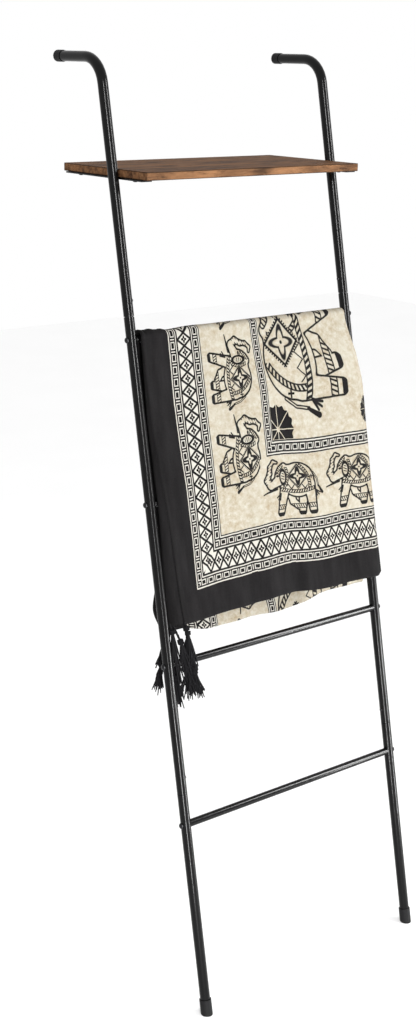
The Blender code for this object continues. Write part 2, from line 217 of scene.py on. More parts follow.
def bar(p, a, b, radius=0.0, end_radius=None):
    """Distance to a straight limb from a to b, tapering between two radii."""
    along = Vector(b) - Vector(a)
    off = p.minus(*a)
    step = along / along.length_squared
    share = off.op("DOT_PRODUCT", (step.x, step.y, 0)).op("ADD", 0.0, clamp=True)
    spread = Place(p.tree, share.socket)
    gap = spread.op("MULTIPLY_ADD", (-along.x, -along.y, 0), off).length()
    if end_radius is None:
        return gap - radius if radius else gap
    return gap + share.op("MULTIPLY_ADD", radius - end_radius, -radius)


def chain(p, points):
    """Distance to a line through several points."""
    gap = None
    for a, b in zip(points, points[1:]):
        piece = bar(p, a, b)
        gap = piece if gap is None else gap.low(piece)
    return gap


def oval(p, centre, radii):
    """Distance, nearly, to an ellipse; negative inside."""
    off = p.minus(*centre).scaled(1 / radii[0], 1 / radii[1])
    return (off.length() - 1) * min(radii)


def ring(p, centre, radius):
    """Signed distance to a circle."""
    return p.minus(*centre).length() - radius


def noise(tree, vector, scale, detail=2.0, roughness=0.5):
    node = tree.nodes.new("ShaderNodeTexNoise")
    node.inputs["Scale"].default_value = scale
    node.inputs["Detail"].default_value = detail
    node.inputs["Roughness"].default_value = roughness
    tree.links.new(vector, node.inputs["Vector"])
    return Val(tree, node.outputs["Fac"])


def mixed(tree, share, low, high):
    """A colour between two, each a colour or a socket."""
    node = tree.nodes.new("ShaderNodeMix")
    node.data_type = "RGBA"
    tree.links.new(share.socket, node.inputs[0])
    for slot, value in ((node.inputs[6], low), (node.inputs[7], high)):
        if isinstance(value, bpy.types.NodeSocket):
            tree.links.new(value, slot)
        else:
            slot.default_value = (*value, 1)
    return node.outputs[2]


def new_material(name, roughness, metallic=0.0):
    material = bpy.data.materials.new(name)
    material.use_nodes = True
    tree = material.node_tree
    shader = tree.nodes["Principled BSDF"]
    shader.inputs["Roughness"].default_value = roughness
    shader.inputs["Metallic"].default_value = metallic
    return material, tree, shader


def object_place(tree):
    return Place(tree, tree.nodes.new("ShaderNodeTexCoord").outputs["Object"])


def add_bump(tree, shader, height, strength, distance):
    node = tree.nodes.new("ShaderNodeBump")
    node.inputs["Strength"].default_value = strength
    node.inputs["Distance"].default_value = distance
    tree.links.new(height.socket, node.inputs["Height"])
    tree.links.new(node.outputs["Normal"], shader.inputs["Normal"])


# ---------------------------------------------------------------- the print
# The cloth's own coordinates are metres from its lower left corner: s across, t along.
CLOTH_HALF_WIDTH = 0.526
FRONT_DROP = 0.516
OVER_RUNG = (pi - LEAN) * 0.0095
BACK_DROP = 0.585
CLOTH_HALF_LENGTH = FRONT_DROP + OVER_RUNG + BACK_DROP
HEM_BORDER = 0.057

# Print sizes, inside the plain border
BAND = 0.080
ROW_CENTRES = (0.0095, 0.0655)
ROW_HALF = 0.0074
BOX_PERIOD = 0.0200
BOX_OUTSIDE = (0.0063, 0.0047)
BOX_INSIDE = (0.0046, 0.0031)
BAR_HALF = 0.0009
LATTICE_CENTRE = 0.0375
LATTICE_HALF = 0.0160
LATTICE_PERIOD = 0.0215
LATTICE_LINE = 0.225
PETAL_RADIUS, PETAL_WAVE, PETAL_HEART = 0.0050, 0.0016, 0.0012
BAND_LINES = ((0.0187, 0.0221), (0.0529, 0.0563), (0.0749, 0.0779))
FRAME_ACROSS = 0.210
FRAME_ALONG = 0.187
FRAME_TALLER = 0.80
FRAME_WIDTH = 0.0205
FRAME_ROW_CENTRE, FRAME_ROW_HALF, FRAME_ROW_SIZE = 0.0102, 0.0064, 0.86
FRAME_LINE = 0.0021
SOFT = 0.0005
FLOWERS = (((0.2480, 0.2300), 0.0430), ((0.5000, 0.2480), 0.0250))
PETALS = 8

# The block is printed a little narrower across and longer along than it is drawn here
PRINT_ACROSS, PRINT_ALONG = 1.06, 0.91
THREAD_PITCH = 0.0011
SHAKE = 0.0012

# Elephants: length, height, pitch, the line of the feet, and where the first one starts
FOOT_ROW = (0.150, 0.109, 0.170, 0.0825, 0.1915)
SIDE_ROW = (0.122, 0.126, 0.139, 0.0905, 0.1350)
BIG_ROW = (0.242, 0.258, 0.315, 0.4480, 0.2370)


SMALL_PEN, BIG_PEN = 0.0135, 0.0078
SMALL_SADDLE, BIG_SADDLE = 0.600, 0.460


def box_row(depth, along, centre, half, size=1.0):
    """White boxes and white bars by turns on a black row; 1 is ink."""
    off = (depth - centre).size()
    beat = along.beat(BOX_PERIOD)
    rings = []
    for across, up in (BOX_OUTSIDE, BOX_INSIDE):
        rings.append(beat.under(across, SOFT) * off.under(up * size, SOFT))
    ringed = rings[0] * (1 - rings[1])
    bars = beat.over(BOX_PERIOD / 2 - BAR_HALF, SOFT) * off.under(BOX_OUTSIDE[1] * size, SOFT)
    return off.under(half, SOFT) * (1 - ringed.high(bars))


def line(depth, start, end):
    centre, half = (start + end) / 2, (end - start) / 2
    return (depth - centre).size().under(half, SOFT)


def lattice(depth, along):
    """Two crossing zigzags with a small four-petal flower in every diamond."""
    side = (depth - LATTICE_CENTRE) / LATTICE_HALF
    wave = along.op("PINGPONG", LATTICE_PERIOD) / LATTICE_PERIOD * 2 - 1
    gap = (side.size() - wave.size()).size()
    mesh = gap.under(LATTICE_LINE, 0.05)
    off = joined(along.beat(LATTICE_PERIOD), depth - LATTICE_CENTRE)
    across, up = off.parts()
    turn = up.op("ARCTAN2", across) * 4.0
    petals = off.length() - PETAL_RADIUS - turn.op("COSINE") * PETAL_WAVE
    flower = petals.under(0, SOFT) * off.length().over(PETAL_HEART, SOFT)
    return mesh.high(flower) * side.size().under(1, 0.03)


def band(depth, along):
    ink = box_row(depth, along, ROW_CENTRES[0], ROW_HALF)
    ink = ink.high(box_row(depth, along, ROW_CENTRES[1], ROW_HALF))
    ink = ink.high(lattice(depth, along))
    for start, end in BAND_LINES:
        ink = ink.high(line(depth, start, end))
    return ink


def frame_band(depth, along):
    ink = box_row(depth, along, FRAME_ROW_CENTRE, FRAME_ROW_HALF, FRAME_ROW_SIZE)
    ink = ink.high(line(depth, 0, FRAME_LINE))
    return ink.high(line(depth, FRAME_WIDTH - FRAME_LINE, FRAME_WIDTH))


def blossom(p, centre, radius, petals):
    """A solid flower whose petals are parted by pale lines."""
    off = p.minus(*centre)
    x, y = off.parts()
    angle = y.op("ARCTAN2", x) * (petals / 2)
    reach = off.length()
    parted = (angle.op("SINE").size() * reach).over(radius * 0.075, SOFT)
    scallop = reach - (angle * 4).op("COSINE") * (radius * 0.045)
    heart = reach.over(radius * 0.10, SOFT)
    return scallop.under(radius * 0.95, SOFT) * parted * heart


def stroke(gap, half, soft=0.005):
    """A pen line along a shape's edge."""
    return (gap.size() - half).under(0, soft)


def rope(p, centre, radius, half, ticks, inside):
    """A cord band along an arc: two edges with slanting ticks between them."""
    off = p.minus(*centre)
    x, y = off.parts()
    side = off.length() - radius
    edges = stroke(side.size() - half, 0.0065)
    slant = (y.op("ARCTAN2", x) * radius + side * 0.6).beat(ticks)
    tick = slant.under(ticks * 0.28, 0.004) * side.size().under(half, 0.004)
    return edges.high(tick) * inside


def elephant(p, pen, saddle_x):
    """A plain folk elephant one unit tall with its trunk up, facing -x, feet on y 0; 1 is ink."""
    soft = 0.005
    x, y = p.parts()
    near = oval(p, (0.595, 0.555), (0.290, 0.270))
    for a, b, start, end in (
        ((0.340, 0.630), (0.430, 0.650), 0.150, 0.150),
        ((0.310, 0.735), (0.360, 0.770), 0.060, 0.060),
        ((0.250, 0.560), (0.110, 0.500), 0.085, 0.062),
        ((0.110, 0.500), (0.050, 0.590), 0.062, 0.048),
        ((0.050, 0.590), (0.100, 0.690), 0.048, 0.038),
        ((0.100, 0.690), (0.115, 0.790), 0.038, 0.032),
        ((0.115, 0.790), (0.175, 0.865), 0.032, 0.026),
        ((0.175, 0.865), (0.235, 0.845), 0.026, 0.020),
        ((0.350, 0.420), (0.250, 0.060), 0.090, 0.060),
        ((0.800, 0.480), (0.830, 0.060), 0.100, 0.062),
    ):
        near = near.blend_low(bar(p, a, b, start, end), 0.03)
    far = bar(p, (0.450, 0.370), (0.490, 0.220), 0.075, 0.060)
    far = far.blend_low(bar(p, (0.490, 0.220), (0.585, 0.140), 0.060, 0.055), 0.02)
    far = far.low(bar(p, (0.690, 0.370), (0.640, 0.060), 0.085, 0.058))
    ground = 0.012 - y
    near = near.high(ground)
    far = far.high(ground)
    inside = near.under(0, soft)
    ink = stroke(near, pen).high(stroke(far, pen) * near.over(0, soft))
    whole = near.low(far).under(-0.004, soft)

    anklet = (y - 0.145).size()
    ticks = (x + y * 0.4).beat(0.038).under(0.0085, soft) * anklet.under(0.034, soft)
    bands = stroke(anklet - 0.034, 0.0070)
    ink = ink.high(bands.high(ticks).high(y.under(0.062, soft)) * whole)

    body = inside * x.over(0.25, soft)
    under_belt = ring(p, (0.595, 1.370), 0.965)
    ink = ink.high(rope(p, (0.595, 1.370), 0.995, 0.025, 0.044, body))
    upper = body * under_belt.under(0, soft)
    cloth = joined(x - saddle_x, y - 0.615).op("ABSOLUTE")
    cx, cy = cloth.parts()
    diamond = cx + cy * 0.95
    off_cloth = diamond.over(0.192, soft)
    rump = rope(p, (0.430, 0.470), 0.375, 0.023, 0.042, upper * x.over(0.60, soft))
    front = upper * x.under(0.50, soft) * y.under(0.76, soft)
    neck = rope(p, (0.150, 0.640), 0.275, 0.020, 0.040, front)
    ink = ink.high(rump.high(neck) * off_cloth)
    lace = (cx - cy).beat(0.034).under(0.010, soft) * stroke(diamond - 0.187, 0.011)
    long_petals = oval(cloth, (0, 0), (0.112, 0.036)).low(oval(cloth, (0, 0), (0.036, 0.112)))
    flower = stroke(long_petals, pen).high(cloth.length().under(0.014, soft))
    zigzag = stroke(y - 0.415 - x.op("PINGPONG", 0.060) * 1.25, pen * 1.1) * off_cloth
    saddle = upper * x.over(0.40, soft) * x.under(0.765, soft)
    ink = ink.high(stroke(diamond - 0.168, 0.013).high(lace).high(flower) * inside)
    ink = ink.high(zigzag * saddle)
    sx, sy = p.minus(0.840, 0.600).op("ABSOLUTE").parts()
    star = sx.low(sy).under(0.009, soft) * sx.high(sy).under(0.034, soft)
    ink = ink.high(star)

    ear = oval(joined(x - saddle_x, y), (-0.265, 0.610), (0.055, 0.112))
    veins = (y + x * 0.4).beat(0.042).under(0.0085, soft) * ear.under(-0.022, soft)
    ink = ink.high(stroke(ear, pen)).high(veins)
    crown = bar(p, (0.225, 0.705), (0.320, 0.785))
    hatch = (x + y).beat(0.044).under(0.010, soft) * crown.under(0.024, soft)
    ink = ink.high(stroke(crown - 0.026, 0.007).high(hatch) * inside)
    ink = ink.high(oval(p, (0.240, 0.632), (0.030, 0.018)).under(0, soft))
    ink = ink.high(chain(p, [(0.190, 0.655), (0.240, 0.676), (0.280, 0.650)]).under(0.0075, soft))
    ink = ink.high(bar(p, (0.200, 0.440), (-0.040, 0.385), 0.024, 0.009).under(0, soft))
    rings = (y - x * 0.5).beat(0.046).under(0.0080, soft) * near.over(-0.030, soft)
    ink = ink.high(rings * inside * x.under(0.150, soft) * y.over(0.52, soft))

    tail = chain(p, [(0.875, 0.660), (0.935, 0.560), (0.955, 0.430)])
    ink = ink.high(stroke(tail - 0.010, 0.006) * near.over(0, soft))
    ink = ink.high(bar(p, (0.955, 0.440), (1.010, 0.330), 0.013, 0.024).under(0, soft))
    for root, spread in (((0.270, 0.355), -1), ((0.895, 0.385), 1)):
        for reach, drop in ((0.080, 0.055), (0.058, 0.088), (0.022, 0.098)):
            tip = (root[0] + spread * reach, root[1] - drop)
            ink = ink.high(bar(p, root, tip, 0.014, 0.010).under(0, soft))
    return ink


def cloth_print(tree):
    """(ink, whiter ground) of the throw's print from the cloth's own coordinates."""
    source = tree.nodes.new("ShaderNodeUVMap")
    source.uv_map = "cloth"
    raw = Place(tree, source.outputs[0])
    wobble = tree.nodes.new("ShaderNodeTexNoise")
    wobble.inputs["Scale"].default_value = 90
    wobble.inputs["Detail"].default_value = 1
    tree.links.new(raw.socket, wobble.inputs["Vector"])
    shaken = Place(tree, wobble.outputs["Color"]).minus(0.5, 0.5).scaled(SHAKE, SHAKE)
    s, t = raw.op("ADD", shaken).parts()
    across = (s - HEM_BORDER) * PRINT_ACROSS
    along = (t - HEM_BORDER) * PRINT_ALONG

    depth = across.low(along)
    run = across.high(along)
    border = depth.under(0, SOFT)
    in_band = depth.over(0, SOFT) * depth.under(BAND - 0.003, SOFT)
    ink = border.high(band(depth, run) * in_band)

    frame_depth = (across - FRAME_ACROSS).low((along - FRAME_ALONG) * FRAME_TALLER)
    frame_run = (across - FRAME_ACROSS).high(along - FRAME_ALONG)
    in_frame = frame_depth.over(0, SOFT) * frame_depth.under(FRAME_WIDTH, SOFT)
    ink = ink.high(frame_band(frame_depth, frame_run) * in_frame)
    ground = in_band.high(in_frame)

    centre = frame_depth.over(FRAME_WIDTH + SOFT, SOFT)
    foot = across.over(FOOT_ROW[4], 0.0001) * along.under(FRAME_ALONG - 0.002, 0.0001)
    spots = []
    for row, run_on, rise, tail in (
        (FOOT_ROW, across, along, None),
        (SIDE_ROW, along, across, 1.055),
        (BIG_ROW, along, across, 1.060),
    ):
        unit, height, pitch, feet, first = row
        step = ((run_on - first) / pitch).op("FRACT") * (pitch / unit)
        across_unit = step - 0.045 if tail is None else tail - step
        up_unit = (feet - rise) / height if row is BIG_ROW else (rise - feet) / height
        spots.append((across_unit, up_unit))
    (x_foot, y_foot), (x_side, y_side), (x_big, y_big) = spots
    local = joined(
        pick(centre, pick(foot, x_side, x_foot), x_big),
        pick(centre, pick(foot, y_side, y_foot), y_big),
    )
    room = centre.high(foot).high((1 - foot) * along.over(SIDE_ROW[4], 0.0001))
    pen = pick(centre, SMALL_PEN, BIG_PEN)
    beast = elephant(local, pen, pick(centre, SMALL_SADDLE, BIG_SADDLE))
    ink = ink.high(beast * room * depth.over(BAND - 0.002, SOFT) * (1 - in_frame))

    place = joined(across, along)
    near_flower, far_flower = (blossom(place, *flower, PETALS) for flower in FLOWERS)
    return ink.high(near_flower.high(far_flower) * centre), ground, raw


def make_cotton():
    material, tree, shader = new_material("printed_cotton", 0.86)
    ink, ground, raw = cloth_print(tree)
    blotch = noise(tree, raw.socket, 15, 5, 0.62)
    speck = noise(tree, raw.socket, 95, 4, 0.75)
    mottle = blotch.op("MULTIPLY_ADD", 3.6, -1.3, clamp=True)
    field = mixed(tree, mottle, FIELD_TAN, FIELD_PALE)
    fleck = speck.op("MULTIPLY_ADD", 3.0, -1.1, clamp=True)
    field = mixed(tree, fleck, field, FIELD_FLECK)
    pale = mixed(tree, ground, field, BAND_GROUND)
    # The black varies between a dark and a paler ink: a fine mottle of random wear, and long
    # streaks along the cloth that are painted sheen, standing in for light on the soft folds of the
    # black border.
    wear_and_painted_sheen = noise(tree, raw.socket, 260, 2, 0.6)
    streak = noise(tree, raw.scaled(34, 7).socket, 1, 3, 0.6)
    wear_and_painted_sheen = wear_and_painted_sheen * 0.4 + streak.op("MULTIPLY_ADD", 2.4, -0.9, clamp=True) * 0.6
    black = mixed(tree, wear_and_painted_sheen, INK_DARK, INK_PAINTED_SHEEN_AND_WEAR)
    colour = mixed(tree, ink, pale, black)
    tree.links.new(colour, shader.inputs["Base Color"])
    shader.inputs["Sheen Weight"].default_value = 0.02
    shader.inputs["Specular IOR Level"].default_value = 0.05
    s, t = raw.parts()
    weave = (s * (tau / THREAD_PITCH)).op("SINE") * (t * (tau / THREAD_PITCH)).op("SINE")
    slub = noise(tree, raw.socket, 420, 2, 0.6)
    add_bump(tree, shader, weave * 0.35 + slub, 0.35, 0.0004)
    return material


def make_yarn():
    material, tree, shader = new_material("black_yarn", 0.9)
    place = object_place(tree)
    fuzz = noise(tree, place.socket, 900, 3, 0.7)
    colour = mixed(tree, fuzz, YARN_DARK, YARN_PALE)
    tree.links.new(colour, shader.inputs["Base Color"])
    shader.inputs["Specular IOR Level"].default_value = 0.05
    add_bump(tree, shader, fuzz, 0.6, 0.0006)
    return material


def make_powder_coat():
    """Satin black powder coat: fine orange peel, a little dust and a few rubbed spots."""
    material, tree, shader = new_material("black_powder_coat", 0.30)
    place = object_place(tree)
    patch = noise(tree, place.socket, 14, 3, 0.6)
    dust = noise(tree, place.socket, 320, 2, 0.6)
    colour = mixed(tree, patch * dust, COAT_DARK, COAT_DUSTY)
    tree.links.new(colour, shader.inputs["Base Color"])
    rough = patch.op("MULTIPLY_ADD", 0.04, 0.095) + dust * 0.03
    tree.links.new(rough.socket, shader.inputs["Roughness"])
    shader.inputs["Specular IOR Level"].default_value = 0.17
    add_bump(tree, shader, noise(tree, place.socket, 500, 2, 0.5), 0.018, 0.0002)
    return material


def make_metal(name, dark, light, roughness):
    material, tree, shader = new_material(name, roughness, 0.9)
    place = object_place(tree)
    streak = noise(tree, place.scaled(1, 6).socket, 240, 3, 0.6)
    tree.links.new(mixed(tree, streak, dark, light), shader.inputs["Base Color"])
    rough = streak.op("MULTIPLY_ADD", 0.2, roughness - 0.1)
    tree.links.new(rough.socket, shader.inputs["Roughness"])
    add_bump(tree, shader, streak, 0.15, 0.0002)
    return material


def make_rubber():
    material, tree, shader = new_material("black_rubber", 0.6)
    place = object_place(tree)
    grain = noise(tree, place.socket, 520, 3, 0.6)
    tree.links.new(mixed(tree, grain, RUBBER_DARK, RUBBER_PALE), shader.inputs["Base Color"])
    shader.inputs["Specular IOR Level"].default_value = 0.10
    rough = grain.op("MULTIPLY_ADD", 0.25, 0.42)
    tree.links.new(rough.socket, shader.inputs["Roughness"])
    add_bump(tree, shader, grain, 0.25, 0.0004)
    return material


def make_board():
    """Rustic brown board: grain along X in drawn-out bands, dark knots, a darker rim along every
    edge.
    """
    material, tree, shader = new_material("rustic_board", 0.6)
    shader.inputs["Specular IOR Level"].default_value = 0.06
    place = object_place(tree)
    low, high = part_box("shelf_board")
    bend = noise(tree, place.scaled(2.5, 7).socket, 1, 3, 0.6)
    drawn = place.op("MULTIPLY", (4.5, 58, 58)).op("ADD", Place(tree, (bend * 5.0).socket))
    grain = noise(tree, drawn.socket, 1.0, 6, 0.65)
    fine = noise(tree, place.op("MULTIPLY", (26, 190, 190)).socket, 1.0, 3, 0.7)
    knots = noise(tree, place.op("MULTIPLY", (9, 26, 26)).socket, 1.0, 1, 0.4)
    # The front face gets a paler copy of the top's brown: painted light, standing in for the lit
    # front face.
    front = (place.op("DOT_PRODUCT", (0, 1, 0)) - low.y).under(0.0010, 0.0004)
    pale = mixed(tree, front, WOOD_TOP, WOOD_FRONT_PAINTED_LIGHT)
    warm = mixed(tree, grain.op("MULTIPLY_ADD", 4.2, -1.5, clamp=True), WOOD_GRAIN, pale)
    warm = mixed(tree, fine.op("MULTIPLY_ADD", 4.0, -2.2, clamp=True), warm, WOOD_FLECK)
    warm = mixed(tree, fine.op("MULTIPLY_ADD", -5.0, 2.2, clamp=True), warm, WOOD_PORE)
    dark = knots.op("MULTIPLY_ADD", 9.0, -6.1, clamp=True)
    colour = mixed(tree, dark, warm, WOOD_KNOT)
    node = tree.nodes.new("ShaderNodeSeparateXYZ")
    tree.links.new(place.socket, node.inputs[0])
    x, z = Val(tree, node.outputs[0]), Val(tree, node.outputs[2])
    y = Val(tree, node.outputs[1])
    rim = ((high.y - y).low(y - low.y)).low((high.x - x).low(x - low.x))
    corner = rim.high((high.z - z).low(z - low.z))
    edge = corner.under(0.0014, 0.0012)
    colour = mixed(tree, edge * 0.85, colour, WOOD_RIM)
    tree.links.new(colour, shader.inputs["Base Color"])
    rough = grain.op("MULTIPLY_ADD", 0.25, 0.55)
    tree.links.new(rough.socket, shader.inputs["Roughness"])
    add_bump(tree, shader, grain + fine * 0.4, 0.35, 0.0008)
    return material


# ---------------------------------------------------------------- smooth shading for the CAD nodes
def shade_round(obj, limit=40):
    """Rounds a CAD node's shading where its faces meet at a small angle; no point moves."""
    mesh = obj.data
    corners = len(mesh.loops)
    at = np.zeros(len(mesh.vertices) * 3)
    mesh.vertices.foreach_get("co", at)
    at = at.reshape(-1, 3)
    vertex = np.zeros(corners, int)
    mesh.loops.foreach_get("vertex_index", vertex)
    first = np.zeros(len(mesh.polygons), int)
    mesh.polygons.foreach_get("loop_start", first)
    count = np.zeros(len(mesh.polygons), int)
    mesh.polygons.foreach_get("loop_total", count)
    face = np.repeat(np.arange(len(count)), count)
    flat = np.zeros(len(count) * 3)
    mesh.polygons.foreach_get("normal", flat)
    flat = flat.reshape(-1, 3)
    step = np.arange(corners) - first[face]
    after = first[face] + (step + 1) % count[face]
    before = first[face] + (step - 1) % count[face]
    here = at[vertex]
    one, two = at[vertex[after]] - here, at[vertex[before]] - here
    lengths = np.linalg.norm(one, axis=1) * np.linalg.norm(two, axis=1)
    spread = (one * two).sum(1) / (lengths + 1e-12)
    weight = np.arccos(np.clip(spread, -1, 1))
    _, spot = np.unique(np.round(here, 5), axis=0, return_inverse=True)
    order = np.argsort(spot.ravel(), kind="stable")
    bounds = np.flatnonzero(np.diff(spot.ravel()[order])) + 1
    normals = np.zeros((corners, 3))
    for group in np.split(order, bounds):
        facing = flat[face[group]]
        near = facing @ facing.T > cos(limit * pi / 180)
        normals[group] = (near * weight[group]) @ facing
    normals /= np.linalg.norm(normals, axis=1, keepdims=True) + 1e-12
    mesh.shade_smooth()
    mesh.normals_split_custom_set(normals)


# ---------------------------------------------------------------- the throw
LAYER = 0.0012
CLOTH = 0.0005
OUTER_RADIUS = RUNG_RADIUS + 0.0008 + 3 * LAYER + CLOTH / 2
SIDE_FOLD = 0.0045
END_FOLD = 0.0050
LEFT_EDGE = -0.2445
RIGHT_AT_RUNG = 0.2470
RIGHT_SPREAD = 0.0330
BACK_LEFT = -0.175
BACK_RIGHT = 0.3465
LAYER_LEFT = (0.0275, -0.0035, -0.0005, -0.0040)
LAYER_HEM = (0.0, 0.0022, 0.0008, 0.0036)
HEM_FALL, RIGHT_HEM_FALL = 0.0050, 0.0035
BACK_HANG = 0.591
STEPS_ACROSS, STEPS_ALONG = (0.0050, 0.024), (0.0055, 0.017)


def ease(value):
    value = np.clip(value, 0, 1)
    return value * value * (3 - 2 * value)


def hump(x, centre, width):
    return np.exp(-(((x - centre) / width) ** 2))


def front_stand(x, drop):
    """How far the outermost layer stands off the rack's plane, at a place below the rung."""
    free = 1 - ease((x + 0.245) / 0.22)
    span = np.clip(drop / RUNG_PITCH, 0, 1)
    below = ease((drop - RUNG_PITCH) / 0.21)
    off = OUTER_RADIUS + 0.0030 * ease((x - 0.185) / 0.05) * ease(drop / 0.035)
    off = off - 0.0060 * ease((x - 0.262) / 0.020)
    off = off - (0.0055 * np.sin(pi * span) ** 2 + 0.0085 * below) * free
    turn = tau * (x + 0.022) / 0.105
    fold = np.sin(turn + 0.8 * np.cos(turn))
    off = off + 0.0036 * fold * ease((drop - 0.20) / 0.28) * hump(x, -0.005, 0.11)
    off = off + 0.0012 * np.sin(tau * x / 0.17 + 5 * drop) * ease(drop / 0.10)
    off = off + 0.0022 * hump(x, -0.222, 0.010) * ease((drop - 0.02) / 0.1)
    ripple = np.sin(61 * x + 23 * drop + 1) * np.sin(37 * drop - 19 * x)
    return off + 0.0007 * ripple * ease(drop / 0.05)


def throw_place(s, t):
    """The cloth's middle surface in the model's frame, from the cloth's own coordinates."""
    across = CLOTH_HALF_WIDTH - np.abs(s - CLOTH_HALF_WIDTH)
    along = CLOTH_HALF_LENGTH - np.abs(t - CLOTH_HALF_LENGTH)
    side = np.clip((s - CLOTH_HALF_WIDTH) / SIDE_FOLD, -1, 1) * pi / 2
    end = np.clip((t - CLOTH_HALF_LENGTH) / END_FOLD, -1, 1) * pi / 2
    inner = 0.5 + 0.5 * np.sin(side)
    depth = 1.5 - (1.5 - inner) * -np.sin(end)
    share = across / CLOTH_HALF_WIDTH
    puff = 1 + 1.1 * ease((share - 0.965) / 0.03)
    sunk = LAYER * depth * puff

    drop = np.clip(FRONT_DROP - along, 0, None)
    edge = (1 - share) ** 9 * (drop / FRONT_DROP) ** 1.5
    left = LEFT_EDGE + np.interp(depth, range(4), LAYER_LEFT) * edge
    back = np.clip(along - FRONT_DROP - OVER_RUNG, 0, None)
    low = back / BACK_DROP
    right = RIGHT_AT_RUNG + RIGHT_SPREAD * ease((drop - 0.006) / 0.13)
    right = right + 0.002 * np.sin(13 * drop) * ease(drop / 0.2)
    right = right + (BACK_RIGHT - RIGHT_AT_RUNG) * low
    left = left + (BACK_LEFT - LEFT_EDGE) * low - 0.012 * hump(low, 0.90, 0.06)
    shift = 0.020 * np.sin(pi * share) * low
    full = np.maximum(right, RIGHT_AT_RUNG + RIGHT_SPREAD)
    x = left + (full - left) * (share + shift) + (right - full) * share ** 2.2

    lift = 0.0095 * hump(x, 0.01, 0.11) * ease(drop / 0.20)
    lift = lift + 0.0012 * np.sin(40 * x) * ease(drop / 0.4)
    lift = lift + np.interp(depth, range(4), LAYER_HEM) * ease((drop - FRONT_DROP + 0.1) / 0.1)
    lift = lift - (HEM_FALL + RIGHT_HEM_FALL * ease((x + 0.10) / 0.20)) * ease(drop / 0.4)
    corner = 0.006 * ease((share - 0.97) / 0.03) * ease((drop - FRONT_DROP + 0.012) / 0.012)
    down = drop - lift - corner
    stand = front_stand(x, drop) - sunk
    front = np.outer(-down, UP_RACK) + np.outer(stand, OFF_RACK)

    turn = np.clip((along - FRONT_DROP) / OVER_RUNG, 0, 1)
    angle = (pi - LEAN) * (1 - turn)
    ruffle = 0.0030 * np.abs(np.sin(pi * x / 0.026)) * ease((-0.180 - x) / 0.02)
    swell = 0.0016 * np.cos(tau * (x + 0.245) / 0.125) * hump(x, -0.2, 0.09)
    radius = OUTER_RADIUS - LAYER * depth + (ruffle + swell + 0.001) * np.sin(pi * turn)
    arc = np.stack([0 * x, radius * np.cos(angle), radius * np.sin(angle)], 1)

    soft = ease(low / 0.35)
    wave = 0.0040 * np.sin(tau * x / 0.21 + 0.8) + 0.0022 * np.sin(tau * x / 0.093 + 4 * low)
    hang = BACK_HANG - 0.016 * hump(x, -0.14, 0.06) - 0.014 * ease((x - 0.14) / 0.16)
    fall = back * (hang / BACK_DROP) - 0.0020 * (1 - np.cos(end)) * (np.abs(end) < pi / 2)
    behind = np.stack([0 * x, OUTER_RADIUS - sunk + wave * soft, -fall], 1)

    over = (turn > 0)[:, None]
    rear = (back > 0)[:, None]
    place = np.where(rear, behind, np.where(over, arc, front))
    place[:, 0] = x + MIDDLE_X
    place[:, 1] += TOP_RUNG.y
    place[:, 2] += TOP_RUNG.z
    return place


def cloth_steps(end, fine, coarse, tight):
    """Numbers from 0 to twice end: fine where shown, coarse where hidden, tight near places."""
    places = []
    value = 0.0
    while value < 2 * end:
        places.append(value)
        folded = end - abs(value - end)
        near = min(abs(folded - t) for t in tight)
        step = fine if value <= end + 0.01 else coarse
        value += min(step, 0.0009 + 0.22 * near) if near < 0.02 else step
    places.append(2 * end)
    return np.array(places)


def add_throw(material):
    s = cloth_steps(CLOTH_HALF_WIDTH, *STEPS_ACROSS, (CLOTH_HALF_WIDTH,))
    middle = FRONT_DROP + OVER_RUNG / 2
    rung = tuple(middle + OVER_RUNG * k / 6 for k in range(-3, 4))
    t = cloth_steps(CLOTH_HALF_LENGTH, *STEPS_ALONG, (CLOTH_HALF_LENGTH, *rung))
    across, along = (grid.ravel() for grid in np.meshgrid(s, t))
    points = throw_place(across, along)
    columns = len(s)
    corner = (np.arange(len(t) - 1)[:, None] * columns + np.arange(columns - 1)).ravel()
    faces = np.stack([corner, corner + 1, corner + columns + 1, corner + columns], 1)
    mesh = bpy.data.meshes.new("throw_cloth")
    mesh.from_pydata(points.tolist(), [], faces.tolist())
    folded = np.stack([
        CLOTH_HALF_WIDTH - np.abs(across - CLOTH_HALF_WIDTH),
        CLOTH_HALF_LENGTH - np.abs(along - CLOTH_HALF_LENGTH),
    ], 1)
    spread = np.stack([across / (2 * CLOTH_HALF_WIDTH), along / (2 * CLOTH_HALF_LENGTH)], 1)
    for name, values in (("cloth", folded), ("OFBake", spread)):
        layer = mesh.uv_layers.new(name=name)
        layer.uv.foreach_set("vector", values[faces.ravel()].astype(np.float32).ravel())
    mesh.materials.append(material)
    mesh.shade_smooth()
    throw = bpy.data.objects.new("throw_cloth", mesh)
    bpy.context.scene.collection.objects.link(throw)
    thick = throw.modifiers.new("thickness", "SOLIDIFY")
    thick.thickness = CLOTH
    thick.offset = 0
    return throw


# ---------------------------------------------------------------- tassels
# Where each is sewn to the cloth (s, t), its end from there (x, y, z), its size, its knots' shares
FAR_SIDE, FAR_END = 2 * CLOTH_HALF_WIDTH, 2 * CLOTH_HALF_LENGTH
CORD_YARN, BUNDLE_YARN, FRINGE_YARN = 0.0013, 0.0014, 0.0011
TASSELS = {
    "tassel_1": ((0.002, FAR_END), (-0.003, 0.028, -0.127), 1.10, (0.18, 0.62)),
    "tassel_2": ((FAR_SIDE - 0.002, 0.0), (0.006, -0.020, -0.140), 1.20, (0.07, 0.68)),
    "tassel_3": ((FAR_SIDE - 0.006, FAR_END), (0.029, -0.026, -0.122), 1.10, (0.22, 0.63)),
    "tassel_4": ((0.001, 0.0), (0.014, -0.024, -0.128), 1.10, (0.05, 0.62)),
    "tassel_5": ((0.006, 0.0), (-0.004, -0.016, -0.120), 1.05, (0.12, 0.60)),
}


